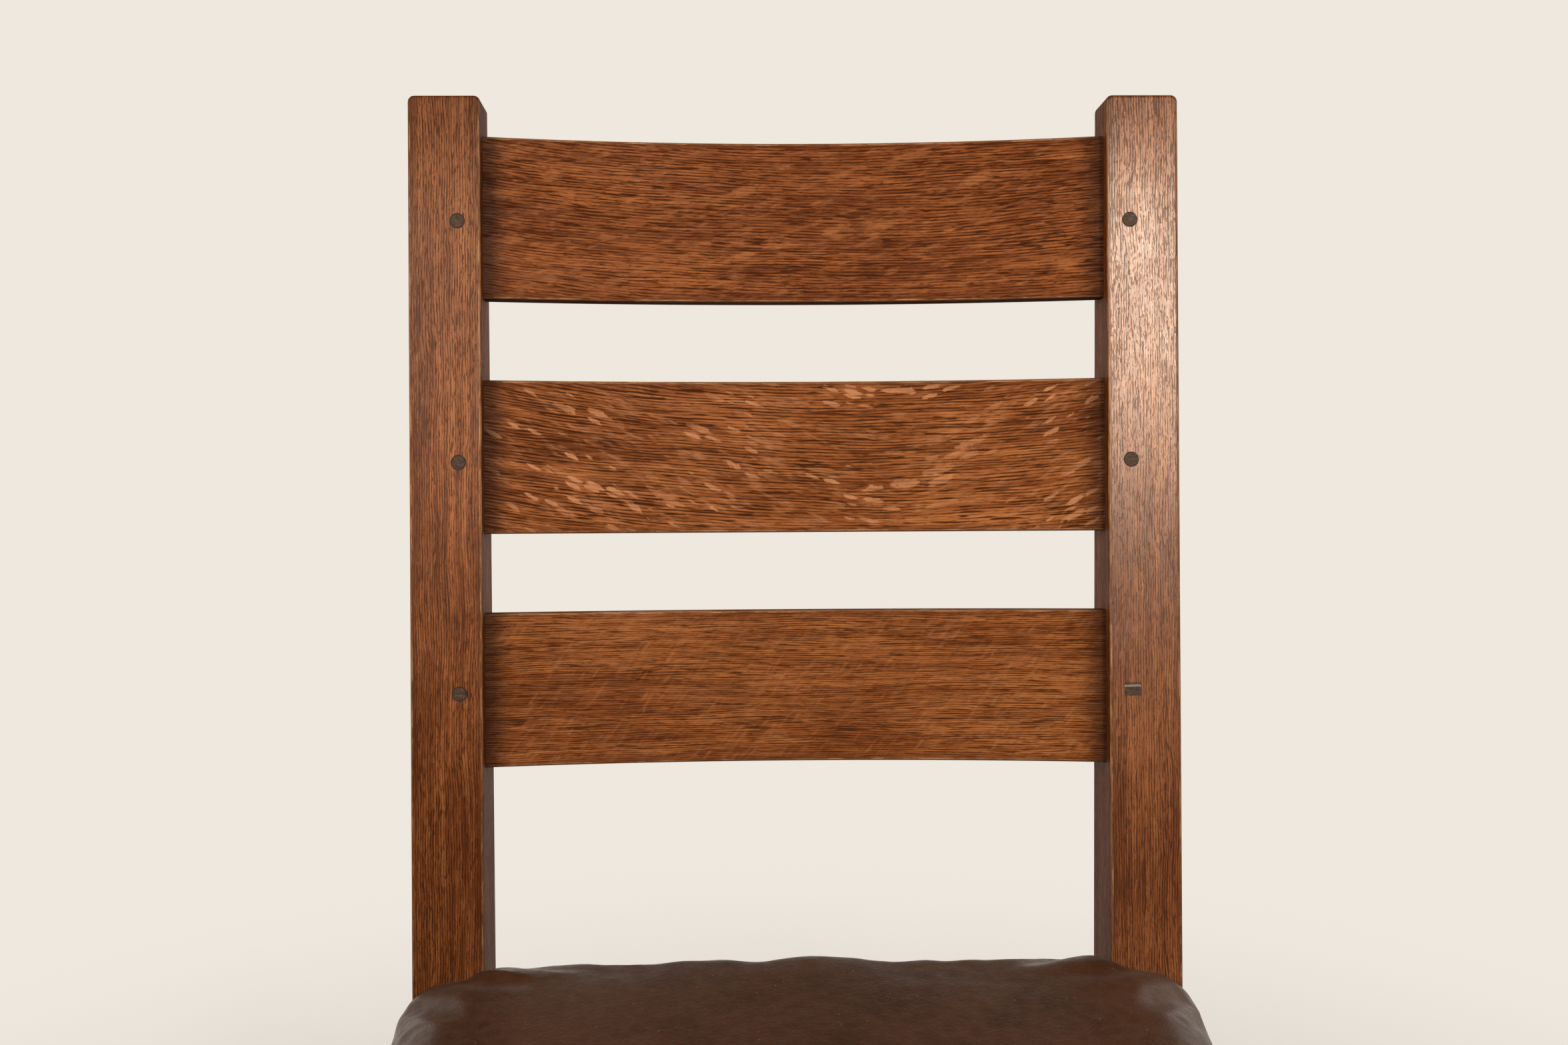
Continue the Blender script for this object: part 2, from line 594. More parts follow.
# Screws and tacks
# Flat headed steel screws hold the blocks and the seat, and blued cut tacks hold the webbing and the leather.
# All of it is dulled, with rust starting in spots.
def old_steel(name, clean, rust, roughness):
    """Dull steel with brown spots."""
    made, tree, surface = new_material(name)
    spots = noise(tree, surface_place(tree)[0], 700.0, 4.0, 0.65)
    spots = step_between(tree, spots, 0.48, 0.66)
    dress(
        tree, surface, Base_Color=tint(tree, spots, clean, rust),
        Metallic=step_between(tree, spots, 0.0, 1.0, 1.0, 0.2),
        Roughness=step_between(tree, spots, 0.0, 1.0, roughness, 0.8),
        Normal=shader(tree, "Bump", None, Strength=0.5, Distance=0.0002, Height=spots),
    )
    return made


screw_steel = old_steel("screw_steel", (0.30, 0.28, 0.26, 1), (0.10, 0.045, 0.02, 1), 0.38)
tack_steel = old_steel("tack_steel", (0.075, 0.078, 0.09, 1), (0.07, 0.03, 0.015, 1), 0.34)
for name, steel in (
    ("corner_block_screws", screw_steel), ("seat_screws", screw_steel),
    ("webbing_tacks", tack_steel), ("cover_tacks", tack_steel),
):
    paint(name, steel)


# Webbing
# Six straps of jute twill, 50 mm wide, stretched over the seat frame and woven over and under each other.
# Each is tacked down at both ends and has two dark lines along it.
STRAP_THICKNESS, STRIPE_REACH = 0.0015, 0.014


def textile(name, light, dark, pitch, thread_axes, stripe=None):
    """Plain woven cloth whose threads run along two axes, with an optional dark stripe across one of them."""
    made, tree, surface = new_material(name)
    place = surface_place(tree)[0]
    waves = [
        reckon(tree, "SINE", times(tree, along_line(tree, place, axis), math.tau / pitch))
        for axis in thread_axes
    ]
    threads = scaled(tree, times(tree, *waves), 0.5, 0.5)
    slub = step_between(tree, noise(tree, place, 260.0, 4.0, 0.7), 0.35, 0.68)
    colour = tint(tree, scaled(tree, threads, 0.55, 0.15), dark, light)
    colour = tint(tree, times(tree, slub, 0.45), colour, light)
    if stripe:
        centre, axis, tone = stripe
        off = minus(tree, unsigned(tree, along_line(tree, place, axis, centre)), STRIPE_REACH)
        line = step_between(tree, unsigned(tree, off), 0.0018, 0.0026, 0.8, 0.0)
        colour = tint(tree, line, colour, tone)
    raised = reckon(tree, "ADD", threads, slub)
    relief = shader(tree, "Bump", None, Strength=0.8, Distance=pitch * 0.25, Height=raised)
    dress(
        tree, surface, Base_Color=colour, Roughness=0.9, Sheen_Weight=0.25, Sheen_Roughness=0.6,
        Normal=relief,
    )
    return made


def stand(name, form):
    """Puts a mesh, a lamp or a camera in the scene."""
    made = bpy.data.objects.new(name, form)
    bpy.context.scene.collection.objects.link(made)
    return made


def keep_mesh(name, mesh, material):
    """Puts a finished mesh in the scene as a piece of the chair."""
    piece = stand(name, mesh)
    mesh.materials.clear()
    mesh.materials.append(material)
    for face in mesh.polygons:
        face.use_smooth = True
    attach(piece, "root")
    return piece


def join_rings(mesh, first, second):
    """Faces between two rings of points."""
    for index in range(len(first)):
        following = (index + 1) % len(first)
        mesh.faces.new((first[index], first[following], second[following], second[index]))


def closed_mesh(mesh, name):
    """Ends the making of a mesh, with its faces turned outward."""
    bmesh.ops.recalc_face_normals(mesh, faces=mesh.faces)
    made = bpy.data.meshes.new(name)
    mesh.to_mesh(made)
    mesh.free()
    return made


def share_between(value, low, high):
    """Share of the way that a value is from low to high, from 0 to 1."""
    return min(max((value - low) / (high - low), 0.0), 1.0)


def smooth_share(value, low, high):
    """The same, starting and ending softly."""
    share = share_between(value, low, high)
    return share * share * (3 - 2 * share)


def strap_mesh(name, low, high, run, heights):
    """A strap of even thickness with soft selvedges, raised at its crossings."""
    cross = 1 - run
    span = high[run] - low[run]
    steps = int(span / 0.0025)
    middle = (low[cross] + high[cross]) / 2
    half = (high[cross] - low[cross]) / 2
    outline = []
    for share in (-1.0, -0.985, -0.93, -0.6, -0.2, 0.2, 0.6, 0.93, 0.985, 1.0):
        thin = {1.0: 0.15, 0.985: 0.7}.get(abs(share), 1.0)
        outline.append((share * half, 0.5 + 0.5 * thin))
    profile = [(x, k * STRAP_THICKNESS) for x, k in outline]
    profile += [(x, (1 - k) * STRAP_THICKNESS) for x, k in reversed(outline)]
    mesh = bmesh.new()
    rings = []
    for step in range(steps + 1):
        at = low[run] + span * step / steps
        ring = []
        for x, z in profile:
            point = [0.0, 0.0, heights(at) + z]
            point[run] = at
            point[cross] = middle + x
            ring.append(mesh.verts.new(point))
        rings.append(ring)
    for first, second in zip(rings, rings[1:]):
        join_rings(mesh, first, second)
    mesh.faces.new(rings[0])
    mesh.faces.new(list(reversed(rings[-1])))
    return closed_mesh(mesh, name)


STRAP_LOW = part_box("webbing_long_1")[0][2]
STRAP_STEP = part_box("webbing_long_1")[1][2] - STRAP_LOW - STRAP_THICKNESS
# A strap is fully raised within one reach of a crossing, and lies flat beyond the other
RAISED_REACH, FLAT_REACH = 0.028, 0.046
STRAP_MIDDLES = [
    [sum(corner[axis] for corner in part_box(word + str(number))) / 2 for number in (1, 2, 3)]
    for word, axis in (("webbing_cross_", 1), ("webbing_long_", 0))
]
TWILL_THREADS = ((0.7071, 0.7071, 0), (0.7071, -0.7071, 0))
STRIPE_TONE = (0.10, 0.028, 0.018, 1)
for kind, run in (("webbing_long_", 1), ("webbing_cross_", 0)):
    crossings = STRAP_MIDDLES[0] if run == 1 else STRAP_MIDDLES[1]
    for number in (1, 2, 3):
        low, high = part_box(kind + str(number))
        over_first = (number % 2 == 1) if run == 1 else (number % 2 == 0)
        raised = [place for index, place in enumerate(crossings) if (index % 2 == 0) == over_first]

        def heights(at, raised=raised):
            lifts = [smooth_share(abs(at - place), FLAT_REACH, RAISED_REACH) for place in raised]
            return STRAP_LOW + STRAP_STEP * max(lifts)

        middle = (low[1 - run] + high[1 - run]) / 2
        across_axis = (1, 0, 0) if run == 1 else (0, 1, 0)
        jute = textile(
            "jute_" + kind + str(number), (0.46, 0.33, 0.18, 1), (0.16, 0.10, 0.05, 1), 0.0024,
            TWILL_THREADS, stripe=(middle, across_axis, STRIPE_TONE),
        )
        strap_shape = strap_mesh(kind + "piece", low, high, run, heights)
        strap = keep_mesh("strap_" + kind + str(number), strap_shape, jute)
        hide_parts(kind + str(number))


# Burlap
# One sheet of coarse burlap over the webbing, cut to the seat frame and notched at the posts. It keeps the
# stuffing in, and pillows down a little between the straps.
BURLAP_LOW, BURLAP_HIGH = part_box("burlap")
FRAME_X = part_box("seat_frame_left")[0][0] * -1
BURLAP_SETBACK, BURLAP_SAG, FRAME_CORNER = 0.006, 0.0014, 0.035
narrow_x, frame_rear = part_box("seat_frame_rear")[1][0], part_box("seat_frame_rear")[1][1]
step_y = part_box("seat_frame_left")[1][1]
frame_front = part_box("seat_frame_front")[0][1]


def on_frame(x, y, setback):
    """True on the plan of the seat frame: notched at the posts and round at its front corners."""
    if y > step_y - setback and abs(x) > narrow_x - setback:
        return False
    reach, radius = FRAME_X - setback, FRAME_CORNER - setback
    dx, dy = abs(x) - (reach - radius), (frame_front + setback + radius) - y
    return not (dx > 0 and dy > 0 and dx * dx + dy * dy > radius * radius)


# The four sides of a cell: the step to its neighbour, and the two corners between them
SIDES = (((0, -1), (0, 1)), ((1, 0), (1, 2)), ((0, 1), (2, 3)), ((-1, 0), (3, 0)))


def cut_sheet(name, low, high, cell, keeps, sag):
    """A sheet of even thickness cut to a plan, with its area. sag gives the drop at each place."""
    mesh = bmesh.new()
    places = {}
    columns, rows = int((high[0] - low[0]) / cell), int((high[1] - low[1]) / cell)
    wide, deep = (high[0] - low[0]) / columns, (high[1] - low[1]) / rows

    def vertex(column, row, level):
        key = (column, row, level)
        if key not in places:
            x, y = low[0] + wide * column, low[1] + deep * row
            places[key] = mesh.verts.new((x, y, (high[2] if level else low[2]) + sag(x, y)))
        return places[key]

    kept = {
        (column, row) for column in range(columns) for row in range(rows)
        if keeps(low[0] + wide * (column + 0.5), low[1] + deep * (row + 0.5))
    }
    for column, row in sorted(kept):
        corners = [(column, row), (column + 1, row), (column + 1, row + 1), (column, row + 1)]
        mesh.faces.new([vertex(c, r, 1) for c, r in corners])
        mesh.faces.new([vertex(c, r, 0) for c, r in reversed(corners)])
        for step, (first, second) in SIDES:
            if (column + step[0], row + step[1]) not in kept:
                (a, b), (c, d) = corners[first], corners[second]
                mesh.faces.new((vertex(a, b, 1), vertex(a, b, 0), vertex(c, d, 0), vertex(c, d, 1)))
    return closed_mesh(mesh, name), len(kept) * wide * deep


def between_straps(x, y):
    """How far the burlap pillows down where no strap holds it."""
    free = 1.0
    for line, at in ((STRAP_MIDDLES[1], x), (STRAP_MIDDLES[0], y)):
        for middle in line:
            free = min(free, smooth_share(abs(at - middle), 0.026, 0.040))
    within = share_between(abs(x), 0.150, 0.130) * share_between(y, 0.060, 0.040)
    return -BURLAP_SAG * free * within * share_between(y, -0.205, -0.185)


def on_burlap(x, y):
    """True on the burlap, which stops short of the frame's edges."""
    return on_frame(x, y, BURLAP_SETBACK)


burlap_piece, burlap_area = cut_sheet(
    "burlap_sheet", BURLAP_LOW, BURLAP_HIGH, 0.004, on_burlap, between_straps,
)
burlap_cloth = textile(
    "burlap_weave", (0.40, 0.29, 0.155, 1), (0.10, 0.062, 0.03, 1), 0.0022, ((1, 0, 0), (0, 1, 0)),
)
burlap_sheet = keep_mesh("burlap_sheet", burlap_piece, burlap_cloth)
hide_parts("burlap")


# Leather seat
# Dark brown leather over hair and cotton, crowned in the middle, rolled over at every edge and drawn in at
# the hem. It is notched round the posts, puckers at their inner corners, and is tacked up under the frame.
SEAT_LOW = 0.3983
SEAT_CROWN = SEAT_LOW + 0.0677
SIDE_X, FRONT_Y, REAR_Y = 0.2443, -0.29758, 0.14742
MIDDLE_Y = (FRONT_Y + REAR_Y) / 2
BULGE, CORNER, ROLL, HEM = 0.007, 0.045, 0.024, 0.006
CROWN_RISE = 0.0171
DOME = (math.hypot(SIDE_X, REAR_Y - MIDDLE_Y) ** 2 + CROWN_RISE ** 2) / (2 * CROWN_RISE)
START_SETBACK, START_LOW = 0.0015, SEAT_LOW + 0.0004
NOTCH_SLACK, EDGE_SLACK, CELL = 0.0005, 0.001, 0.0045
SWELL, SWELL_CAP = 0.0045, 0.0075
SIDE_PUSH, FULLNESS = 0.0048, 0.0044
HEM_LOW, HEM_THICKNESS = SEAT_LOW + 0.0002, 0.0014
POST_CLEARANCE = 0.0006


def post_front(z):
    """Y of the front face of a rear post at a height near the seat."""
    if z > BEND_Z:
        return BEND_Y + (z - BEND_Z) * math.tan(LEAN)
    return BEND_Y + POST_KICK * (BEND_Z - z) / BEND_Z


def quarter_turn(x, y, radius, start):
    """Nine points of a quarter circle."""
    angles = [start + math.pi / 2 * step / 8 for step in range(9)]
    return [(x + radius * math.cos(angle), y + radius * math.sin(angle)) for angle in angles]


def seat_outline(inset):
    """Plan of the seat at an inset: straight rear, bowed sides and front, round corners."""
    x_reach, y_reach = SIDE_X - inset, (REAR_Y - FRONT_Y) / 2 - inset
    radius = max(CORNER - inset, 0.004)
    points = []
    signs = ((1, 1), (-1, 1), (-1, -1), (1, -1))
    for quarter, (sign_x, sign_y) in enumerate(signs):
        centre = (sign_x * (x_reach - radius), sign_y * (y_reach - radius))
        points += quarter_turn(*centre, radius, quarter * math.pi / 2)
        following = signs[(quarter + 1) % 4]
        last = points[-1]
        if quarter in (0, 2):
            goal = (following[0] * (x_reach - radius), last[1])
        else:
            goal = (last[0], following[1] * (y_reach - radius))
        for step in range(1, 30):
            share = step / 30
            points.append((last[0] + (goal[0] - last[0]) * share, last[1] + (goal[1] - last[1]) * share))
    bowed = []
    for x, y in points:
        side_bow = BULGE * max(0.0, 1 - (y / y_reach) ** 2) * min(1.0, abs(x) / x_reach) ** 4
        front_bow = BULGE * max(0.0, 1 - (x / x_reach) ** 2) if y < 0 else 0.0
        front_bow *= min(1.0, abs(y) / y_reach) ** 4
        bowed.append((x + math.copysign(side_bow, x), y - front_bow + MIDDLE_Y))
    return bowed


def seat_start():
    """The closed form that the cover is swollen from, a little smaller than the finished seat."""
    mesh = bmesh.new()
    loops = []
    def dome(x, y):
        return SEAT_CROWN - SWELL - (x * x + (y - MIDDLE_Y) ** 2) / (2 * DOME)
    levels = []
    for step in range(5):
        angle = math.pi / 2 * step / 4
        levels.append((HEM * (1 - math.sin(angle)), START_LOW + HEM * (1 - math.cos(angle)), None))
    for step in range(9):
        angle = math.pi / 2 * step / 8
        levels.append((ROLL * (1 - math.cos(angle)), None, ROLL * (1 - math.sin(angle))))
    for inset, height, drop in levels:
        ring = []
        for x, y in seat_outline(inset + START_SETBACK):
            ring.append(mesh.verts.new((x, y, height if drop is None else dome(x, y) - drop)))
        loops.append(ring)
    for first, second in zip(loops, loops[1:]):
        join_rings(mesh, first, second)
    for ring, top in ((loops[-1], True), (loops[0], False)):
        rim = [vertex.co.copy() for vertex in ring]
        previous = ring
        for share in (0.85, 0.7, 0.55, 0.4, 0.25, 0.12):
            inner = []
            for point in rim:
                x, y = point.x * share, MIDDLE_Y + (point.y - MIDDLE_Y) * share
                inner.append(mesh.verts.new((x, y, dome(x, y) if top else START_LOW)))
            join_rings(mesh, previous, inner)
            previous = inner
        centre = mesh.verts.new((0, MIDDLE_Y, dome(0, MIDDLE_Y) if top else START_LOW))
        for index in range(len(previous)):
            mesh.faces.new((previous[index], previous[(index + 1) % len(previous)], centre))
    return stand("seat_start", closed_mesh(mesh, "seat_start"))


def prism(name, outline, near, far, axis):
    """A closed straight cutter with a given outline, along X or Z."""
    mesh = bmesh.new()
    rings = []
    for at in (near, far):
        ring = []
        for first, second in outline:
            ring.append(mesh.verts.new((at, first, second) if axis == 0 else (first, second, at)))
        rings.append(ring)
    join_rings(mesh, *rings)
    mesh.faces.new(rings[0])
    mesh.faces.new(list(reversed(rings[1])))
    return stand(name, closed_mesh(mesh, name))


def as_shown(piece):
    """The mesh of a piece with its modifiers worked in."""
    ready = piece.evaluated_get(bpy.context.evaluated_depsgraph_get())
    return bpy.data.meshes.new_from_object(ready)


seat = seat_start()
post_side = [(post_front(z) - NOTCH_SLACK, z) for z in (0.36, 0.40, BEND_Z, 0.44, 0.52)]
post_side += [(0.25, 0.52), (0.25, 0.36)]
cutters = [
    prism("notch_left", post_side, -POST_OUTER - 0.02, -POST_INNER + NOTCH_SLACK, 0),
    prism("notch_right", post_side, POST_INNER - NOTCH_SLACK, POST_OUTER + 0.02, 0),
]
frame_plan = [
    (-FRAME_X, frame_front), (FRAME_X, frame_front), (FRAME_X, step_y), (narrow_x, step_y),
    (narrow_x, frame_rear), (-narrow_x, frame_rear), (-narrow_x, step_y), (-FRAME_X, step_y),
]


def rounded_front(plan, radius):
    """Rounds the two front corners of the frame's plan."""
    x, y = plan[0]
    arc = quarter_turn(x + radius, y + radius, radius, math.pi)
    mirrored = [(-x, y) for x, y in reversed(arc)]
    return arc + mirrored + plan[2:]


frame_plan = rounded_front(frame_plan, FRAME_CORNER)
cutters.append(prism("hollow", frame_plan, 0.380, BURLAP_HIGH[2] + 0.0006, 2))
for cutter in cutters:
    cut = seat.modifiers.new(cutter.name, "BOOLEAN")
    cut.operation = "DIFFERENCE"
    cut.solver = "EXACT"
    cut.object = cutter
grid = seat.modifiers.new("even", "REMESH")
grid.mode = "VOXEL"
grid.voxel_size = CELL
even = as_shown(seat)
for spare in [seat, *cutters]:
    bpy.data.objects.remove(spare)

seat = stand("leather_seat", even)
rest_places = [vertex.co.copy() for vertex in even.vertices]


def in_notch(point, margin):
    """True beside or behind the front face of a post."""
    return abs(point.x) > POST_INNER - margin and point.y > post_front(point.z) - margin


def held_share(point):
    """How firmly the cover is held: fully under the seat and where it is tucked round the posts."""
    low = share_between(point.z, SEAT_LOW + 0.020, SEAT_LOW + 0.010)
    over_frame = abs(point.x) < FRAME_X + EDGE_SLACK and point.y > frame_front - EDGE_SLACK
    hidden = over_frame and point.z < BURLAP_HIGH[2] + 0.003
    at_post = 0.9 if in_notch(point, 0.004) else 0.0
    return max(low, 1.0 if hidden else 0.0, at_post)


held = seat.vertex_groups.new(name="held")
for vertex in even.vertices:
    share = held_share(vertex.co)
    if share > 0:
        held.add([vertex.index], share, "REPLACE")
cover = seat.modifiers.new("cover", "CLOTH")
cover.settings.quality = 6
cover.settings.mass = 0.25
cover.settings.tension_stiffness = 18
cover.settings.compression_stiffness = 18
cover.settings.shear_stiffness = 6
cover.settings.bending_stiffness = 2.5
cover.settings.use_pressure = True
cover.settings.uniform_pressure_force = 4
cover.settings.shrink_min = -0.012
cover.settings.vertex_group_mass = "held"
cover.settings.effector_weights.gravity = 0
cover.point_cache.frame_start = 1
cover.point_cache.frame_end = 20
for moment in range(1, 21):
    bpy.context.scene.frame_set(moment)
swollen = [vertex.co.copy() for vertex in as_shown(seat).vertices]
seat.modifiers.clear()
seat.vertex_groups.clear()
bpy.context.scene.frame_set(1)

for vertex, before, after in zip(even.vertices, rest_places, swollen):
    move = after - before
    if move.length > SWELL_CAP:
        move *= SWELL_CAP / move.length
    vertex.co = before + move

soften = seat.modifiers.new("soften", "SMOOTH")
soften.factor = 0.5
soften.iterations = 4
finer = seat.modifiers.new("finer", "SUBSURF")
finer.levels = finer.render_levels = 1
seat_mesh = as_shown(seat)
bpy.data.objects.remove(seat)

# The stuffing is fuller along the rear and at the posts, most of all at the right one, and the cover shows
# soft waves there, a pucker at the left post and a few creases that run forward. A swell has its place, width
# and height, and a crease its two ends, width and height.
SWELLS = [
    ((-0.190, 0.118), 0.026, 0.0040), ((0.188, 0.116), 0.032, 0.0066), ((-0.010, 0.105), 0.045, 0.0024),
    ((-0.118, 0.110), 0.022, -0.0014), ((0.085, 0.100), 0.030, -0.0008), ((-0.225, 0.100), 0.020, -0.0022),
]
FOLDS = [
    ((-0.1985, 0.1150), (-0.1600, 0.0920), 0.0050, 0.0026),
    ((-0.1920, 0.1260), (-0.1500, 0.1100), 0.0060, -0.0018),
    ((-0.2050, 0.1050), (-0.1780, 0.0600), 0.0090, -0.0014),
    ((0.1980, 0.1150), (0.1650, 0.0960), 0.0070, 0.0016),
    ((0.2030, 0.1080), (0.1780, 0.0650), 0.0110, -0.0012),
    ((0.0080, 0.1150), (0.0150, -0.0200), 0.0090, 0.0005),
    ((0.0330, 0.1180), (0.0380, 0.0100), 0.0070, 0.0005),
    ((0.0470, 0.1250), (0.0700, 0.0700), 0.0100, -0.0008),
    ((-0.0700, 0.1250), (-0.1000, 0.0500), 0.0160, 0.0004),
    ((0.1250, 0.1200), (0.1100, 0.0500), 0.0140, -0.0009),
]


for vertex in seat_mesh.vertices:
    point = vertex.co
    lift = FULLNESS
    for centre, width, height in SWELLS:
        away = math.hypot(point.x - centre[0], point.y - centre[1]) / width
        lift += height * math.exp(-away * away)
    lift *= 0.25 + 0.75 * smooth_share(point.y, -0.06, 0.09)
    lift *= smooth_share(point.z, 0.412, 0.448)
    if point.z > 0.43:
        for start, end, width, height in FOLDS:
            run = Vector((end[0] - start[0], end[1] - start[1]))
            gap = Vector((point.x - start[0], point.y - start[1]))
            share = share_between(gap.dot(run), 0.0, run.length_squared)
            away = (gap - run * share).length
            if away < 3 * width:
                lift += height * (1 - share * share * 0.85) * math.exp(-(away / width) ** 2)
    point.z += lift
    push = SIDE_PUSH * smooth_share(abs(point.x), 0.200, 0.245) * smooth_share(point.z, 0.400, 0.420)
    point.x += math.copysign(push, point.x)
    # The cover stays out of the posts and presses against them
    to_front = point.y - (post_front(point.z) - POST_CLEARANCE)
    to_inner = abs(point.x) - (POST_INNER - POST_CLEARANCE)
    if to_inner > 0 and to_front > 0 and point.z > SEAT_LOW - 0.001:
        if to_front < to_inner:
            point.y -= to_front
        else:
            point.x -= math.copysign(to_inner, point.x)
    point.z = max(point.z, HEM_LOW)


def leather():
    """Aniline brown leather, rubbed paler on the rolls, with fine grain, creases and scratches."""
    made, tree, surface = new_material("brown_leather")
    place, normal = surface_place(tree)
    blotch = step_between(tree, noise(tree, place, 14.0), 0.32, 0.70)
    mottle = step_between(tree, noise(tree, place, 120.0, 4.0), 0.35, 0.68)
    colour = tint(tree, blotch, (0.048, 0.0150, 0.0050, 1), (0.082, 0.0275, 0.0095, 1))
    colour = tint(tree, times(tree, mottle, 0.45), colour, (0.102, 0.044, 0.021, 1))
    specks = cells(tree, place, 190.0)
    bright = reckon(tree, "GREATER_THAN", chance_of(tree, specks), 0.80)
    dot = step_between(tree, specks.outputs["Distance"], 0.05, 0.11, 1.0, 0.0)
    colour = tint(tree, times(tree, times(tree, dot, bright), 0.75), colour, (0.30, 0.22, 0.16, 1))
    drawn_out = shader(tree, "Mapping", None, Vector=place, Rotation=(0, 0, 0.5), Scale=(30, 900, 30))
    scratch = step_between(tree, noise(tree, drawn_out, 1.0, 2.0, 0.5), 0.66, 0.72)
    scratch = times(tree, scratch, step_between(tree, noise(tree, place, 30.0), 0.5, 0.62))
    colour = tint(tree, times(tree, scratch, 0.25), colour, (0.16, 0.10, 0.07, 1))
    # The roll is rubbed a little paler, most of all along the rear
    slope = along_line(tree, normal, (0, 0, 1))
    rubbed = step_between(tree, slope, 0.50, 0.94, 0.36, 0.0)
    rubbed = times(tree, rubbed, step_between(tree, slope, 0.12, 0.42))
    rubbed = times(tree, rubbed, step_between(tree, along_line(tree, place, (0, 1, 0)), 0.0, 0.09, 0.35, 1.0))
    rubbed = times(tree, rubbed, step_between(tree, noise(tree, place, 34.0, 4.0), 0.25, 0.65, 0.45, 1.0))
    colour = tint(tree, rubbed, colour, (0.200, 0.130, 0.088, 1))
    rough = step_between(tree, noise(tree, place, 85.0, 5.0), 0.3, 0.7, 0.33, 0.52)
    pebble = cells(tree, place, 1100.0, "SMOOTH_F1").outputs["Distance"]
    crease = cells(tree, place, 230.0, "DISTANCE_TO_EDGE").outputs["Distance"]
    height = scaled(tree, pebble, 0.5, times(tree, step_between(tree, crease, 0.0, 0.10), 0.35))
    height = scaled(tree, noise(tree, place, 60.0, 4.0), 1.6, height)
    relief = shader(tree, "Bump", None, Strength=0.55, Distance=0.00035, Height=height)
    dress(
        tree, surface, Base_Color=colour, Roughness=rough, Normal=relief, Specular_IOR_Level=0.34,
        Specular_Tint=WARM_GLOSS, Sheen_Weight=0.05, Sheen_Roughness=0.45, Sheen_Tint=WARM_GLOSS,
    )
    return made


def hem_waves(x, y):
    """Small pleats of the leather where it is drawn round the frame's corners."""
    corner = min(math.hypot(abs(x) - 0.215, y - place) for place in (-0.268, 0.090))
    return 0.0004 * math.sin(corner * 900) * max(0.0, 1 - corner / 0.045) - 0.0002


hem_inner_x, hem_front, hem_rear = 0.1978, -0.25108, 0.10592
hem_low = (-FRAME_X - EDGE_SLACK, frame_front - EDGE_SLACK, HEM_LOW)
hem_high = (FRAME_X + EDGE_SLACK, frame_rear, HEM_LOW + HEM_THICKNESS)


def on_hem(x, y):
    """True on the ring of leather that is turned under the seat frame."""
    open_middle = abs(x) < hem_inner_x and hem_front < y < hem_rear
    return on_frame(x, y, -0.0012) and not open_middle


hem_mesh = cut_sheet("hem", hem_low, hem_high, 0.003, on_hem, hem_waves)[0]
whole = bmesh.new()
whole.from_mesh(seat_mesh)
whole.from_mesh(hem_mesh)
whole.to_mesh(seat_mesh)
whole.free()
brown_leather = leather()
leather_seat = keep_mesh("leather_seat", seat_mesh, brown_leather)
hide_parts("leather_cover", "stuffing")


# Camera
# A 50 mm lens a little above the top of the back and a little left of its middle, tipped down by about as
# much as the posts lean, so that their faces square up to the picture.
camera = stand("camera", bpy.data.cameras.new("camera"))
camera.data.lens = 50.01
camera.data.sensor_width = 36.0
camera.data.clip_start = 0.05
camera.data.clip_end = 60.0
yaw, tip, roll = math.radians(1.51), math.radians(14.79), math.radians(0.33)
level = Vector((0, math.cos(tip), -math.sin(tip)))
ahead = level * math.cos(yaw) + Vector((1, 0, 0)) * math.sin(yaw)
right = Vector((1, 0, 0)) * math.cos(yaw) - level * math.sin(yaw)
up = right.cross(ahead)
turned_right = right * math.cos(roll) - up * math.sin(roll)
turned_up = up * math.cos(roll) + right * math.sin(roll)
camera.matrix_world = Matrix.Translation((-0.0438, -1.1246, 1.0731)) @ Matrix(
    (turned_right, turned_up, -ahead)
).transposed().to_4x4()
bpy.context.scene.camera = camera


# Studio
# A pale floor that runs on into a pale surround, three soft lights in front and a fainter one behind at
# either hand.
floor_tone = (0.863, 0.805, 0.735, 1)
floor_mesh = bpy.data.meshes.new("floor")
floor_mesh.from_pydata([(-30, -30, 0), (30, -30, 0), (30, 30, 0), (-30, 30, 0)], [], [(0, 1, 2, 3)])
floor = stand("floor", floor_mesh)
floor_paint, tree, surface = new_material("floor_paint")
place = surface_place(tree)[0]
speckle = step_between(tree, noise(tree, place, 6.0, 4.0, 0.5), 0.3, 0.7)
dress(tree, surface, Base_Color=tint(tree, speckle, floor_tone, (0.84, 0.785, 0.715, 1)), Roughness=0.85)
glow = shader(tree, "Emission", None, Color=floor_tone, Strength=1.0)
paths = shader(tree, "LightPath")
behind = step_between(tree, along_line(tree, place, (0, 1, 0)), 0.2, 0.8)
mirrored = times(tree, paths.outputs["Is Glossy Ray"], behind)
seen = larger(tree, paths.outputs["Is Camera Ray"], mirrored)
# The floor glows like the surround from afar, and takes the chair's shadow near it
far = vector(tree, "LENGTH", vector(tree, "MULTIPLY", place, (1, 1, 0))).outputs["Value"]
far_share = step_between(tree, far, 0.45, 1.35, 0.45, 1.0)
mixed = shader(tree, "MixShader")
feed_each(tree, mixed.inputs, (times(tree, seen, far_share), surface, glow))
output = next(node for node in tree.nodes if node.type == "OUTPUT_MATERIAL")
tree.links.new(mixed.outputs[0], output.inputs[0])
floor_mesh.materials.append(floor_paint)

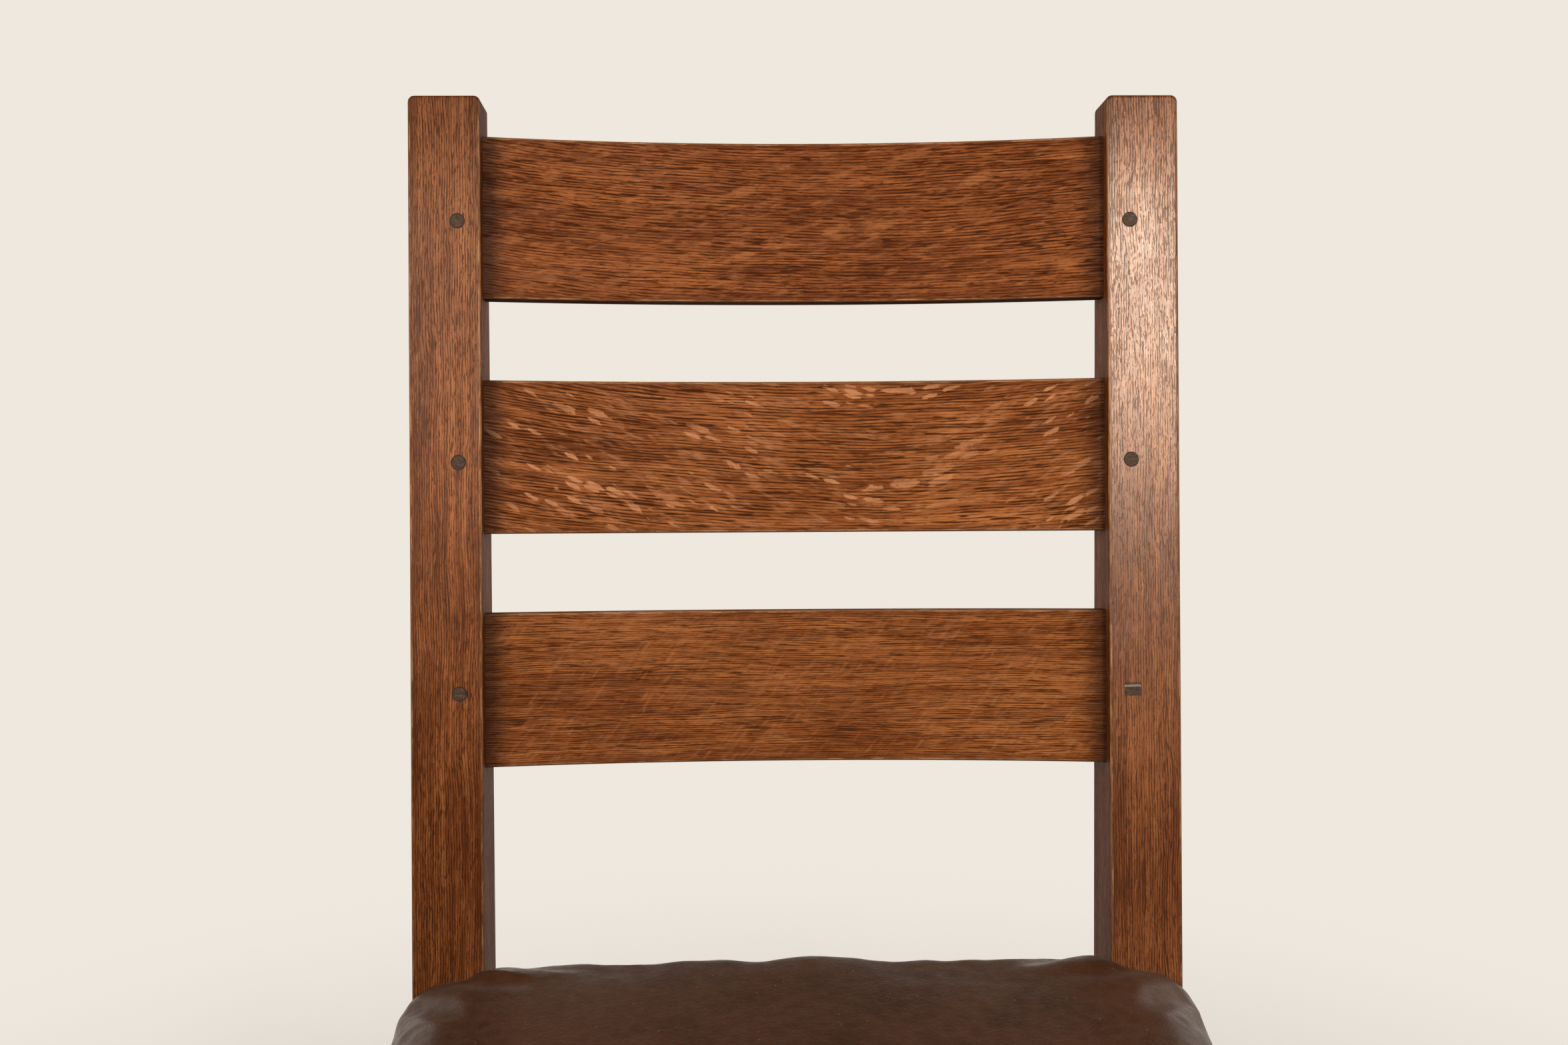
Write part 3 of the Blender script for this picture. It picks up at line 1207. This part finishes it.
world = bpy.data.worlds.new("surround")
bpy.context.scene.world = world
world.use_nodes = True
tree = world.node_tree
tree.nodes.clear()
paths = shader(tree, "LightPath")
lit = shader(tree, "Background", None, Color=(1.0, 0.97, 0.93, 1), Strength=0.12)
shown = shader(tree, "Background", None, Color=floor_tone, Strength=1.0)
# The wall behind the chair is mirrored too, where a glancing look over the rolled leather meets it
towards = shader(tree, "TexCoord").outputs["Generated"]
away = step_between(tree, along_line(tree, towards, (0, 1, 0)), 0.10, 0.60)
level_share = step_between(tree, along_line(tree, towards, (0, 0, 1)), 0.04, 0.30, 0.9, 0.0)
wall_mirrored = times(tree, paths.outputs["Is Glossy Ray"], times(tree, away, level_share))
mixed = shader(tree, "MixShader")
wall_share = larger(tree, paths.outputs["Is Camera Ray"], wall_mirrored)
feed_each(tree, mixed.inputs, (wall_share, lit, shown))
output = tree.nodes.new("ShaderNodeOutputWorld")
tree.links.new(mixed.outputs[0], output.inputs[0])


def soft_light(name, place, aim, size, power, tone):
    """A large soft box that faces a point."""
    lamp = bpy.data.lights.new(name, "AREA")
    lamp.shape = "RECTANGLE"
    lamp.size, lamp.size_y = size
    lamp.energy = power
    lamp.color = tone
    box = stand(name, lamp)
    box.location = place
    box.rotation_euler = (Vector(aim) - Vector(place)).to_track_quat("-Z", "Y").to_euler()


soft_light("soft_right", (0.69, -2.07, 1.83), (0.05, 0.2, 0.85), (0.28, 0.28), 37, (1.0, 0.96, 0.91))
soft_light("soft_left", (-1.45, -1.70, 1.95), (0.0, 0.2, 0.85), (0.7, 0.7), 24, (1.0, 0.96, 0.91))
soft_light("soft_near_left", (-0.53, -1.98, 1.76), (-0.1, 0.2, 0.85), (0.45, 0.45), 9, (1.0, 0.95, 0.90))
soft_light("soft_behind_right", (1.9, 1.7, 1.9), (0.0, 0.1, 0.55), (0.9, 0.9), 8, (1.0, 0.97, 0.94))
soft_light("soft_behind_left", (-1.9, 1.8, 1.8), (0.0, 0.1, 0.55), (0.9, 0.9), 5, (1.0, 0.97, 0.94))
bpy.context.scene.view_settings.view_transform = "Standard"
